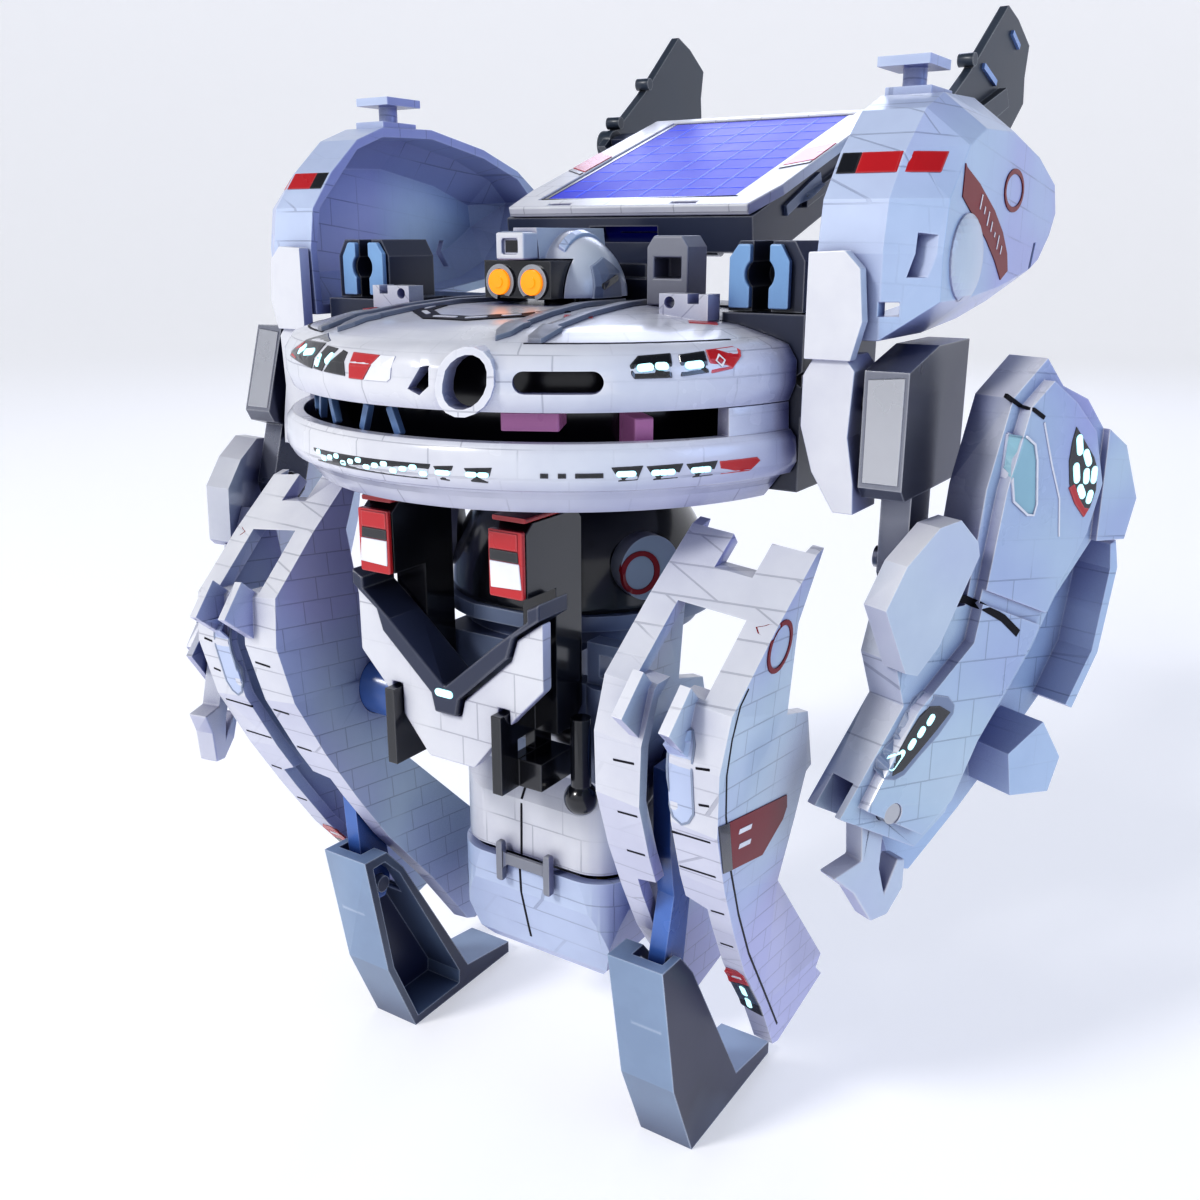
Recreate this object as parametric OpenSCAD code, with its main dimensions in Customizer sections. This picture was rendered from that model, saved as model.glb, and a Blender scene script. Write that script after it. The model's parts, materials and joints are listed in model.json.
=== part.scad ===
// Solar transforming robot kit: a saucer torso on two bowed legs, with two arms,
// a swivelling head and a tilting solar panel that carries two fins.
// The robot faces -Y and stands on z = 0. Its own left side is +X.

/* [Torso] */
// Radius of the round saucer torso
saucer_r = 40; // [36:0.5:40.5]
// Height of the saucer deck above the floor
deck_z = 121; // [120:0.25:122]
// Wall thickness of the moulded shells
wall = 1.6; // [1.2:0.1:2]

/* [Solar module] */
// Tilt of the solar panel
panel_tilt = 18.6; // [12:0.2:20]
// Width of the solar cell
cell_w = 35; // [30:1:38]
// Length of the solar cell
cell_l = 45; // [38:1:46]

/* [Legs and arms] */
// Outward lean of the legs
leg_lean = 6; // [4:0.5:7]
// Forward swing of the right arm at rest
right_swing = 17; // [0:1:20]
// Half width of a leg shell
leg_half = 8.5; // [8:0.1:9]

/* [Fits] */
// Radial running clearance of every pin in its hole
run = 0.06; // [0.03:0.01:0.09]
// Radius of the hip axle
hip_pin_r = 2; // [1.8:0.1:2.2]
// Radius of the other hinge pins
pin_r = 1.4; // [1.2:0.1:1.5]

/* [Hidden] */
$fn = 64;

saucer_y = -4;               // centre of the saucer circle
saucer_back = -12.1;         // back edge of the saucer outside the deck tongue
tongue_w = 28.2;             // half width of the deck tongue
tongue_back = 1.9;           // back edge of the deck tongue
fin_back = 96;               // rearmost point of the fins
frame_y = (fin_back + saucer_y - saucer_r - 0.6) / 2; // centres the whole robot on y = 0
ring_top = 107;
ring_bottom = 98.2;
mouth_half = 63;             // half angle of the open mouth
shell_bottom = 110.5;
shoulder = [-10.2, 111];       // y and z of the shoulder axis
elbow = [-7, 91];            // y and z of the elbow axis
hip = [-20, 62];             // y and z of the hip axis
panel_axis = [12, 127];      // y and z of the panel hinge
arm_x = 58.8;
arm_turn = 25;               // turn of the forearm face about the vertical
ankle = [-22.5, 28];
drive_axis = [-3, 42.5];       // y and z of the drive gear
motor_axis = [-3, 28.8];       // y and z of the motor
fin_peg = [48.5, 4.3];         // fin peg in the panel frame

// Crown of the deck: [radius, height] from the flat middle to the shoulder of the rim
deck_curve = [[saucer_r - 24, deck_z], [saucer_r - 16, deck_z - 0.6], [saucer_r - 8, deck_z - 1.6],
    [saucer_r - 3.4, deck_z - 2.9]];

module put() translate([0, -frame_y, 0]) children();
module along_x(x0, x1) translate([x0, 0, 0]) rotate([90, 0, 90]) linear_extrude(x1 - x0) children();
module along_y(y0, y1) translate([0, y1, 0]) rotate([90, 0, 0]) linear_extrude(y1 - y0) children();
module along_z(z0, z1) translate([0, 0, z0]) linear_extrude(z1 - z0) children();
module rod_x(x0, x1, at, r) translate([x0, at[0], at[1]]) rotate([0, 90, 0]) cylinder(h = x1 - x0, r = r);
module slab(x0, x1, y0, y1, z0, z1) translate([x0, y0, z0]) cube([x1 - x0, y1 - y0, z1 - z0]);
module side(s) mirror([s < 0 ? 1 : 0, 0, 0]) children();
module both() { children(); mirror([1, 0, 0]) children(); }

// Saucer
module saucer_plan(gap = 0) {
    translate([-60, saucer_back - gap - 60]) square([120, 60]);
    translate([-tongue_w + gap, -60]) square([2 * (tongue_w - gap), 60 + tongue_back - gap]);
}
module saucer_turn(profile) intersection() {
    translate([0, saucer_y, 0]) rotate_extrude() polygon(profile);
    along_z(90, 130) saucer_plan();
}
// Places children on the rim at an angle from the front, facing outward along -Y
module on_rim(a) translate([0, saucer_y, 0]) rotate([0, 0, a]) children();

module upper_saucer_shell() color("whitesmoke") put() difference() {
    union() {
        saucer_turn(concat([[0, deck_z - wall]], [for (p = deck_curve) [p[0], p[1] - wall]],
            [[saucer_r - 1.8, 113.2], [saucer_r - 2.4, shell_bottom], [saucer_r - 0.8, shell_bottom],
            [saucer_r, 112.6], [saucer_r, 115.4], [saucer_r - 1.2, 117.3]],
            [for (i = [len(deck_curve) - 1:-1:0]) deck_curve[i]], [[0, deck_z]]));
        // lug clips and the spout rim of the pear-shaped opening
        both() deck_lug();
        on_rim(17) along_y(-saucer_r - 0.4, -saucer_r + 3) pear(0.9);
    }
    on_rim(17) along_y(-saucer_r - 2, -saucer_r + 9) pear(0);
    on_rim(8.2) along_y(-saucer_r - 2, -saucer_r + 9) translate([0, 114.07])
        polygon([[-1.5, -1.2], [0, -1.9], [1.4, -0.8], [1.5, 1.6], [0.4, 1.4]]);
    on_rim(32.4) along_y(-saucer_r - 3, -saucer_r + 9) translate([0, 114]) union() {
        square([7.8, 2.6], center = true);
        for (s = [-1, 1]) translate([3.9 * s, 0]) circle(d = 2.6);
    }
    // head swivel hole
    translate([0, -6, deck_z - 4]) cylinder(h = 8, r = 2.5 + run);
}
module pear(g) translate([0, 113.7]) polygon([for (t = [0:20:359])
    [(2.7 + g) * cos(t) + 0.7 * sin(t), (2.9 + g) * sin(t) + (sin(t) > 0 ? 0.5 : 0)]]);
module deck_lug() translate([24.5, -13, deck_z - 1.2]) difference() {
    slab(-3.5, 3.5, -1.6, 1.6, 0, 3.2);
    rotate([90, 0, 0]) translate([-2, 2.1, -3]) cylinder(h = 6, r = 0.75);
    slab(0.6, 2.2, -3, 3, 2, 3.5);
}
module lower_saucer_ring() color("whitesmoke") put() difference() {
    union() {
        saucer_turn([[0, ring_bottom], [36.4, ring_bottom], [38.6, 101.2], [39.8, 101.5],
            [saucer_r + 0.6, 103], [saucer_r + 0.4, 106], [saucer_r - 0.4, ring_top],
            [saucer_r - 2, ring_top], [saucer_r - 2.4, 102.8], [35.4, 99.9], [0, 99.9]]);
        // closed ends of the mouth
        intersection() {
            saucer_turn([[saucer_r - 3, ring_top - 0.5], [saucer_r - 0.6, ring_top - 0.5],
                [saucer_r - 0.8, shell_bottom - 0.1], [saucer_r - 3, shell_bottom - 0.1]]);
            difference() {
                slab(-50, 50, -60, 10, 90, 130);
                translate([0, saucer_y, 90]) linear_extrude(40)
                    polygon([[0, 0], [-90 * tan(mouth_half) / 1.6, -56], [-10, -90], [10, -90],
                        [90 * tan(mouth_half) / 1.6, -56]]);
            }
        }
    }
    translate([0, -8, 90]) cylinder(h = 12, r = 6.06);
    for (x = [-18, 18]) translate([x, -22, 90]) cylinder(h = 12, r = 0.8);
}
module control_housing() color("#20222c") put() difference() {
    translate([0, saucer_y, 100]) cylinder(h = 17.8, r = 30);
    translate([0, saucer_y, 101.6]) cylinder(h = 14, r = 28.4);
    slab(-60, 60, saucer_back - 0.1, 60, 90, 130);
    for (x = [-18, 18]) translate([x, -22, 99]) cylinder(h = 12, r = 0.8);
    translate([0, -8, 90]) cylinder(h = 12, r = 6.2);
    translate([0, -6, 110]) cylinder(h = 12, r = 2.7);
}
module truss_struts() color("lightsteelblue") put() for (k = [0:5])
    on_rim(-56 + k * 11) translate([0, -36, ring_top - 0.55]) rotate([0, k % 2 == 0 ? 22 : -22, 0])
        slab(-0.55, 0.55, -0.5, 0.5, 0, 3.9);
module light_guides() color("plum") put() {
    on_rim(27) slab(-3.5, 3.5, -37, -30.2, 108, 110.2);
    on_rim(48) slab(-1.2, 1.2, -37, -30.2, 105, 109.5);
}
module backbone_frame() color("#27324a") put() difference() {
    union() {
        slab(-39.6, 39.6, tongue_back + 0.2, 13.5, 99, 120.8);
        both() difference() {
            slab(tongue_w + 0.4, 39.8, saucer_back + 0.3, tongue_back + 0.3, 99, 120.8);
            // bow-tie notch in the outer face
            translate([0, -9.6, 0]) along_y(-3, 3) polygon([[38.4, 113], [45, 108.5], [45, 117.5]]);
        }
        both() slab(39.7, 41.1, -11.8, -8.6, 108.4, 113.6);
    }
    slab(-26, 26, 4, 11.5, 101, 119);
    both() rod_x(33, 45, shoulder, pin_r);
    for (x = [-8, 8]) translate([x, 7.7, 116]) cylinder(h = 10, r = 0.9);
}
module deck_rails() color("#8e939c") put() intersection() {
    for (s = [-1, 1]) for (d = [8, 12.6])
        side(s) translate([d, 0, 110]) rotate([0, 0, 7]) linear_extrude(20) {
            translate([-0.7, -32]) square([1.4, 28.5]);
            polygon([[-1.3, -31.9], [1.3, -31.9], [1, -36], [0, -38], [-1, -36]]);
        }
    translate([0, saucer_y, 0.02]) rotate_extrude() polygon(concat([[1, deck_z]], deck_curve,
        [for (i = [len(deck_curve) - 1:-1:0]) [deck_curve[i][0], deck_curve[i][1] + 0.6]], [[1, deck_z + 0.6]]));
}
module clip_blocks() color("#1c2536") put() both() difference() {
    along_y(-10.2, 0)
        polygon([[28.6, 120.9], [38.8, 120.9], [38.8, 127], [37.4, 129.4], [30, 129.4], [28.6, 127]]);
    along_y(-12, -4) keyhole2d();
}
module keyhole2d() translate([33.2, 0]) {
    translate([-1.3, 120.5]) square([2.6, 10]);
    translate([0, 125.4]) circle(r = 2);
}
module clip_faces() color("lightsteelblue") put() both() along_y(-11.2, -10.25) difference() {
    polygon([[29, 121.3], [37.2, 121.3], [37.2, 127], [36, 129], [30.2, 129], [29, 127.4]]);
    keyhole2d();
}
module centre_latch() color("#a9adb2") put() difference() {
    along_y(-8, -2.6) polygon([[15.2, 121.05], [21.4, 121.05], [21.4, 128.6], [20.4, 130], [16.2, 130], [15.2, 128.6]]);
    slab(16.3, 20.3, -9, -4, 124.6, 127.2);
}
module shoulder_pins() color("#555a63") put() both() rod_x(33.2, 52.4, shoulder, pin_r - 0.01);

// Head
module head_hood() color("#c9d3e2") put() difference() {
    union() {
        translate([0, -6, deck_z + 0.5]) intersection() {
            sphere(r = 9.4);
            slab(-8.7, 8.7, -8, 9, 0.4, 10);
        }
        along_y(-14.5, 2) polygon([[-2.4, 127], [2.4, 127], [1.9, 131], [-1.9, 131]]);
    }
    slab(-5.6, 5.6, -20, -8.8, deck_z, 127);
    slab(-2.1, 2.1, -9, -5, 122.5, 124.7);
    translate([0, -6, deck_z]) cylinder(h = 5, r = 2.5);
}
module head_visor() color("#23252b") put() {
    difference() {
        union() {
            slab(-5.5, 5.5, -16.4, -8.9, deck_z + 0.9, 126.8);
            slab(-2, 2, -9, -5, 122.6, 124.6);
        }
        for (s = [-1, 1]) translate([2.7 * s, -17, 124]) rotate([-90, 0, 0]) cylinder(h = 2.2, r = 1.7);
    }
    translate([0, -6, deck_z - 5.6]) cylinder(h = 10.4, r = 2.5 - 0.01);
}
module eye_lamps() color("orange") put() for (s = [-1, 1])
    translate([2.7 * s, -17.1, 124]) rotate([-90, 0, 0]) cylinder(h = 2.2, r = 1.65);
module crest_sensor() color("whitesmoke") put() difference() {
    slab(-2.3, 2.3, -18, -14.6, 126.9, 130.4);
    slab(-1.3, 1.3, -18.5, -17.4, 127.6, 129.6);
}

// Solar module, drawn flat around its hinge and tilted
module panel_place() translate([0, panel_axis[0], panel_axis[1]]) rotate([panel_tilt, 0, 0]) children();
module panel_outline(grow) polygon([[-21 - grow, 0 - grow], [21 + grow, -grow], [22.4 + grow, 9],
    [22.4 + grow, 51 + grow], [-22.4 - grow, 51 + grow], [-22.4 - grow, 9]]);
module panel_base() color("#1f2838") put() panel_place() difference() {
    union() {
        along_x(-21.6, 21.6)
            polygon([[0, 5.9], [-1, 1], [6, -1.6], [30, -1.6], [50, 2.6], [51.6, 5.9]]);
        both() along_x(21.5, 22.6) polygon([[16, 2], [32, 2], [33, 3.6], [16.5, 3.6]]);
        // arms and pegs that carry the fins
        both() {
            slab(20, 30.2, fin_peg[0] - 2, fin_peg[0] + 2, fin_peg[1] - 1.5, fin_peg[1] + 1.5);
            rod_x(30.1, 33.4, fin_peg, pin_r - 0.01);
        }
    }
    slab(-19.6, 19.6, 4, 46, 1, 7);
    slab(-6, 6, -6, 8.4, -6, 4.6);
    rod_x(-15, 15, [2, 0.8], pin_r);
}
module panel_frame() color("whitesmoke") put() panel_place() difference() {
    along_z(6, 7.6) panel_outline(0);
    translate([-cell_w / 2 - 0.1, 3.9, 5]) cube([cell_w + 0.2, cell_l + 0.2, 5]);
    for (x = [-14, 8]) slab(x, x + 4, 1, 2, 5, 9);
}
module solar_cell() color("mediumblue") put() panel_place()
    slab(-cell_w / 2, cell_w / 2, 4, 4 + cell_l, 6, 7.3);
module panel_pedestal() color("#2a2f3a") put() difference() {
    union() {
        slab(-10, 10, 4.2, 12.9, 120.9, 124);
        slab(-5.6, 5.6, 8, 18.2, 124, 126);
        along_x(-5.6, 5.6) polygon([[9, 125.9], [18, 125.9], [17.2, 129], [14, 130.4], [11, 129]]);
    }
    rod_x(-9, 9, panel_pin(), pin_r + run);
    for (x = [-8, 8]) translate([x, 7.7, 115]) cylinder(h = 10, r = 0.9);
}
function panel_point(p) = [panel_axis[0] + p[0] * cos(panel_tilt) - p[1] * sin(panel_tilt),
    panel_axis[1] + p[0] * sin(panel_tilt) + p[1] * cos(panel_tilt)];
function panel_pin() = [panel_axis[0] + 2 * cos(panel_tilt) - 0.8 * sin(panel_tilt),
    panel_axis[1] + 2 * sin(panel_tilt) + 0.8 * cos(panel_tilt)];
module panel_hinge_pin() color("silver") put() rod_x(-14.9, 14.9, panel_pin(), pin_r - 0.01);

// Fins: swept plates on the panel's back edge, leaning outward
module fin(s) color("#2b3442") put() side(s) difference() {
    union() {
    translate([30.9, 52, 146]) rotate([0, 0, -4]) {
        along_x(-0.7, 0.9) polygon([[0, 0], [16, 10.4], [31.5, 22.6], [37, 21], [44, 17.5], [43, 12],
            [43.6, 7.5], [37, 2], [28, -1], [16, -3.4], [6, -3]]);
        along_x(0.9, 2.4) polygon([[13, 3], [30, 9], [32, 6], [16, 0]]);
        for (p = [[5, 4.4], [17, 12.4]]) rod_x(-1.6, 1.2, p, 1.1);
    }
    rod_x(30.4, 33.2, panel_point(fin_peg), 2.6);
    }
    rod_x(29, 35, panel_point(fin_peg), pin_r + run);
}
module left_fin() fin(1);
module right_fin() fin(-1);

// Arms. The forearm is drawn in its own upright plane: a runs along the face, w is height.
module arm_place(s) put() side(s) translate([0, shoulder[0], shoulder[1]])
    rotate([s < 0 ? -right_swing : 0, 0, 0]) translate([0, -shoulder[0], -shoulder[1]]) children();
module pod_place(s) put() side(s) children();
module face(n0, n1) translate([arm_x, 0, 0]) rotate([0, 0, -arm_turn]) along_x(n0, n1) children();

module neck_bracket(s) color("#c6cbe0") pod_place(s) difference() {
    union() {
        along_y(-15.2, -7.6) polygon([[41.3, 108], [41.3, 114], [42.6, 116.2], [46.5, 116.4], [47.8, 114.8],
            [47.4, 107], [48.4, 101.6], [48.6, 97.8], [46, 97.8], [43, 102.5]]);
        along_y(-15.8, -13.9) polygon([[41.6, 116], [47.4, 116], [48.6, 120.5], [48, 126.4], [46, 128.4],
            [41.6, 128.2]]);
    }
    rod_x(38, 60, shoulder, pin_r + run);
}
function pod_outline(d) = [[-13 + d, 118.2 + d], [-13.4 + d, 128], [-12.4 + d, 134], [-8 + d, 139.4 - d],
    [-2, 144.4 - d], [4, 146.6 - d], [16, 147 - d], [30, 144.6 - d], [40, 141.4 - d], [46.5 - d, 137.5 - d],
    [44 - d, 130], [39 - d, 124.5 + d / 2], [30, 121 + d], [16, 119.2 + d], [2, 118.2 + d]];
module pod_solid(d, x0, x1, x2) hull() {
    along_x(x0, x1) polygon(pod_outline(d));
    along_x(x1, x2) polygon(pod_outline(d + 4.4));
}
module shoulder_pod(s) color("#d5dcea") pod_place(s) {
    difference() {
        pod_solid(0, 41.6, 49.6, 55.2);
        pod_solid(1.5, 41, 48.4, 53.7);
        // slots in the outer face
        along_x(50, 60) polygon([[-11.4, 125.4], [-9.9, 125.4], [-9.1, 130.2], [-10.6, 130.2]]);
        along_x(46, 60) polygon([[29, 124.4], [30.2, 124.4], [32.4, 129], [31.2, 129]]);
        along_y(-20, -8) translate([49.4, 121]) square([2, 1.6]);
    }
    // I-shaped connector bar on top
    translate([41.9, 8, 0]) {
        slab(0, 6, -3.5, 4.5, 146.4, 147.6);
        translate([2.4, 0.4, 146]) cylinder(h = 5, r = 1.5);
        slab(-1.2, 5.6, -3.6, 4.4, 150, 151.2);
    }
}
module elbow_box(s) color("#3a4254") arm_place(s) difference() {
    union() {
        along_x(49, 54.4) polygon([[-15, 101.2], [-13.6, 99.8], [6, 99.8], [7, 101], [7, 117.4], [-5, 117.4],
            [-15, 115]]);
        along_x(50.4, 54.2) polygon([[-10.5, 100], [-10.5, 90], [-9, 87.6], [-5, 87.6], [-3.5, 90], [-3.5, 100]]);
    }
    rod_x(45, 60, elbow, pin_r + run);
    rod_x(45, 52.6, shoulder, pin_r + run);
    along_x(50.4, 53) polygon([[-5, 102], [4, 102], [4, 115.4], [-5, 115.4]]);
}
module forearm_shell(s) color("#d6deee") arm_place(s) difference() {
    union() {
        face(-3, 3) polygon([[7.5, 115.6], [1.8, 111], [-1.5, 100], [-3, 88], [-3.4, 85.6], [-13.6, 85.6],
            [-15, 80], [-13, 74], [-22.6, 61], [-9, 53.4], [-3.6, 57], [-1.8, 61], [1.5, 66], [5, 70.4],
            [10, 77], [14, 84], [22, 92.7], [25.4, 99], [20, 106], [16.2, 110], [11, 112]]);
        face(3, 4.6) polygon([[7.2, 113], [3.4, 110], [0.4, 100], [-1.6, 88], [-3, 81], [-12, 73.6], [-19.6, 62],
            [-9.5, 56], [-4.4, 59.6], [-0.5, 67], [3.5, 72.4], [8, 78.5], [12, 85.6], [17, 92.7], [19, 99],
            [16.5, 106], [12, 110]]);
        // outer lamp pod
        face(-2, 4) polygon([[20, 106], [24, 103.5], [27.6, 96], [26, 90.5], [20, 91]]);
    }
    face(-2.2, 1.8) polygon([[6.5, 111], [3.4, 108], [0.5, 98], [-1, 86], [-3, 82], [-9, 78], [-11, 73],
        [-16, 66], [-8, 60], [-4, 62], [1, 70], [6, 76.5], [11, 85], [19, 94], [20.5, 99], [16, 105]]);
    face(1.45, 6) pad2d(0.1);
    // black gap band
    face(4, 6) polygon([[-8, 88.4], [10, 81], [10.6, 82.6], [-7.4, 90]]);
    // slot for the claw
    face(-1.6, 2) polygon([[-28, 62], [-16, 48], [-6, 50], [-8.6, 62], [-13, 65.4], [-18, 65.4]]);
    claw_pin(-8, 8, pin_r + run);
    rod_x(47, 59, elbow, pin_r);
}
module claw_pin(n0, n1, r) translate([arm_x, 0, 0]) rotate([0, 0, -arm_turn]) rod_x(n0, n1, [-15, 60.4], r);
module rear_shell(s) color("#8fa2c8") arm_place(s) {
    face(-4.8, -3.05) polygon([[25.6, 95], [27.4, 86], [25.4, 74], [21, 66.4], [15.4, 61], [6, 52.6], [-3, 45.5],
        [-6.4, 46.6], [-9, 53], [-3.4, 60], [4, 70], [10, 78], [15, 88], [21.5, 95.5]]);
    face(-3.1, 2.6) polygon([[26.3, 90], [27.4, 86], [25.4, 74], [21, 66.4], [19.6, 67.2], [24, 74.4], [25.8, 86],
        [25.2, 89.6]]);
    // square socket
    difference() {
        face(-3.1, 4.2) polygon([[6.4, 63.4], [13, 66.6], [17.4, 60.4], [15.6, 55.6], [7.6, 57]]);
        face(-1.8, 2.8) polygon([[9.4, 63], [20, 67], [24, 58], [16.6, 50], [9.6, 58.4]]);
    }
}
module pad2d(g) polygon([[-8, 97.5 + g], [-4.7 + g, 94.4], [-4.2 + g, 92.6], [-10 + g, 82 - g],
    [-13.4, 78.8 - g], [-15.5 - g, 79.5 - g], [-19.5 - g, 88], [-16.5, 93 + g], [-11.5, 97 + g]]);
module elbow_pad(s) color("white") arm_place(s) difference() {
    face(1.5, 5.2) pad2d(0);
    rod_x(47, 57.1, elbow, pin_r);
}
module claw(s) color("#dfe2f2") arm_place(s) difference() {
    face(-1.3, 1.7) polygon([[-17.6, 60.8], [-15, 63.2], [-12.4, 60.6], [-13.4, 57], [-13.6, 51], [-12.4, 47],
        [-10.4, 51.4], [-9, 51], [-9, 46.8], [-11.6, 43.5], [-14.6, 43.4], [-18, 48.6], [-21.6, 51.8], [-17, 53]]);
    claw_pin(-8, 8, pin_r + run);
}
module arm_pins(s) color("#6a707c") arm_place(s) {
    rod_x(49, 57, elbow, pin_r - 0.01);
    claw_pin(-3.2, 4.4, pin_r - 0.01);
}
module left_neck_bracket() neck_bracket(1);
module right_neck_bracket() neck_bracket(-1);
module left_shoulder_pod() shoulder_pod(1);
module right_shoulder_pod() shoulder_pod(-1);
module left_elbow_box() elbow_box(1);
module right_elbow_box() elbow_box(-1);
module left_forearm_shell() forearm_shell(1);
module right_forearm_shell() forearm_shell(-1);
module left_rear_shell() rear_shell(1);
module right_rear_shell() rear_shell(-1);
module left_elbow_pad() elbow_pad(1);
module right_elbow_pad() elbow_pad(-1);
module left_claw() claw(1);
module right_claw() claw(-1);
module left_arm_pins() arm_pins(1);
module right_arm_pins() arm_pins(-1);

// Pelvis
module v_plate() color("white") put() difference() {
    along_y(-33.6, -31.8) polygon([[-15.8, 83.3], [-15.8, 74], [-11, 69], [-4, 60.5], [4, 60.5], [11, 69],
        [15.8, 74], [15.8, 83.3], [11.7, 80.3], [10.7, 77.3], [2.6, 70], [2, 67.6], [-2, 67.6],
        [-2.6, 70], [-10.7, 77.3], [-11.7, 80.3]]);
    both() slab(8.4, 10.2, -35, -30, 60, 70.2);
}
module v_trim() color("#2b3a4e") put() {
    along_y(-34.6, -28) polygon([[-15.9, 86], [-15.9, 83.8], [-11.7, 80.8], [-10.7, 77.8], [-2.4, 70.4],
        [-1.8, 67.8], [1.8, 67.8], [2.4, 70.4], [10.7, 77.8], [11.7, 80.8], [15.9, 83.8], [15.9, 86],
        [14, 85], [14, 83.4], [9.4, 79.8], [0, 71.8], [-9.4, 79.8], [-14, 83.4], [-14, 85]]);
}
module posts() color("#15171e") put() both() difference() {
    union() {
        along_x(8.4, 13.8) polygon([[-34, 86.2], [-34, 94.6], [-32.6, 95.8], [-23, 95.8], [-21.8, 94.6],
            [-21.8, 68], [-24, 65.6], [-27.8, 65.6], [-27.8, 86.2]]);
        slab(8.5, 10.1, -35.4, -24, 58.6, 69.8);
        slab(10.1, 13.8, -31.6, -24, 58.6, 62.6);
    }
    slab(8, 14.5, -31.7, -27.9, 62.7, 65.5);
}
module post_caps() color("firebrick") put() both() {
    slab(8.4, 13.8, -34.9, -34.1, 86.2, 95);
    slab(8.4, 13.8, -34.1, -26, 95.9, 96.6);
}
module dome_cover() color("#0d0f16") put() difference() {
    union() {
        intersection() {
            translate([0, -1.2, 79.4]) sphere(r = 20);
            slab(-25, 25, -30, 30, 79.5, 97.9);
        }
        // waist post into the saucer
        translate([0, -8, 97]) cylinder(h = 6, r = 6);
    }
    intersection() {
        translate([0, -1.2, 79.4]) sphere(r = 18.4);
        slab(-25, 25, -30, 30, 79, 96.4);
    }
}
module boss_place() translate([0, -1.2, 86]) rotate([0, 0, -30]) translate([18.9, 0, 0]) rotate([0, 90, 0]) children();
module ring_boss() color("#a89a94") put() both() difference() {
    boss_place() translate([0, 0, -0.4]) cylinder(h = 3, r = 4.6);
    translate([0, -1.2, 79.4]) sphere(r = 20.06);
}
module hip_housing() color("#9a9aa4") put() difference() {
    union() {
        translate([0, -1.2, 77.2]) difference() {
            cylinder(h = 2.2, r = 21);
            translate([0, 0, -1]) cylinder(h = 5, r = 16);
            slab(-30, 30, -30, -20.4, -1, 4);
        }
        translate([0, -1.2, 0]) along_z(74.6, 77.3) circle(r = 18);
        slab(-12, 12, -21, 6, 57.2, 74.7);
        both() {
            translate([16.9, -20, 57.2]) cylinder(h = 14, r = 3);
            slab(11.9, 16.9, -21.5, -18.5, 57.4, 71);
            difference() {
                slab(14.4, 20.6, -21.4, -18.4, 70.9, 77.2);
                slab(16.4, 21, -23, -18, 72.4, 75.6);
            }
        }
    }
    rod_x(-30, 30, hip, hip_pin_r);
    slab(-9.5, 9.5, -19, 4, 66, 73);
}
module hip_axle() color("silver") put() rod_x(-29.4, 29.4, hip, hip_pin_r - 0.01);
module box_plan(r) {
    for (x = [-8.6, 8.6]) for (y = [-9.4, 3.8]) translate([x, y]) circle(r = r);
    translate([-8.6 - r, -9.4]) square([17.2 + 2 * r, 13.2]);
    translate([-8.6, -9.4 - r]) square([17.2, 13.2 + 2 * r]);
}
// Outline of a box centred on c with half width h, moved in by an offset at each height: [[offset, z], ...]
function taper(h, c, d) = concat([for (p = d) [c - h + p[0], p[1]]],
    [for (i = [len(d) - 1:-1:0]) [c + h - d[i][0], d[i][1]]]);
module capsule(r, d) intersection() {
    along_z(10, 60) box_plan(r);
    along_y(-40, 20) polygon(taper(8.6 + r, 0, d));
    along_x(-20, 20) polygon(taper(6.6 + r, -2.8, d));
}
module gearbox_upper() color("#cfd4e2") put() difference() {
    capsule(6.6, [[0, 37.4], [0, 47], [2.6, 51.4], [2.6, 57.1]]);
    capsule(5, [[0, 37], [0, 46.4], [2.2, 50.6], [2.2, 55.2]]);
    rod_x(-30, 30, drive_axis, pin_r + run);
}
module gearbox_lower() color("#b9c2d8") put() difference() {
    capsule(7.2, [[5, 18], [3.4, 20], [0.4, 31], [0, 36.4]]);
    capsule(5.6, [[4.4, 20], [3, 22], [0.4, 31], [0, 37]]);
}
module gearbox_clip() color("#c9ccd8") put() {
    slab(-4, 4, -17.6, -16.9, 35.9, 37.9);
    for (x = [-5, 4]) slab(x, x + 1.2, -18.2, -16.9, 33, 40);
}
module ball_lever() color("#2c2d35") put() {
    translate([16.8, -26.6, 58.4]) cylinder(h = 10, r = 1.4);
    translate([16.8, -26.6, 56.6]) sphere(r = 2.4);
}
module drive_motor() color("silver") put() {
    rod_x(-11, 3.6, motor_axis, 5);
    rod_x(3.5, 9.4, motor_axis, 0.8);
}
module gear2d(n, rp, tip, root, fill) union() {
    circle(r = root);
    for (k = [0:n - 1]) rotate(k * 360 / n) polygon([[root - 0.4, -rp * fill], [tip, -rp * fill * 0.5],
        [tip, rp * fill * 0.5], [root - 0.4, rp * fill]]);
}
module drive_pinion() color("gold") put() translate([0, motor_axis[0], motor_axis[1]]) along_x(5.4, 8.8)
    difference() {
        rotate(90) gear2d(10, 4, 4.5, 3, 0.2);
        circle(r = 0.8 + run);
    }
module drive_gear() color("ivory") put() translate([0, drive_axis[0], drive_axis[1]]) {
    along_x(5.6, 8.6) rotate(90 + 7.5) gear2d(24, 9.6, 10.1, 8.6, 0.082);
    rod_x(-15.1, 15.1, [0, 0], pin_r - 0.01);
}

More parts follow.
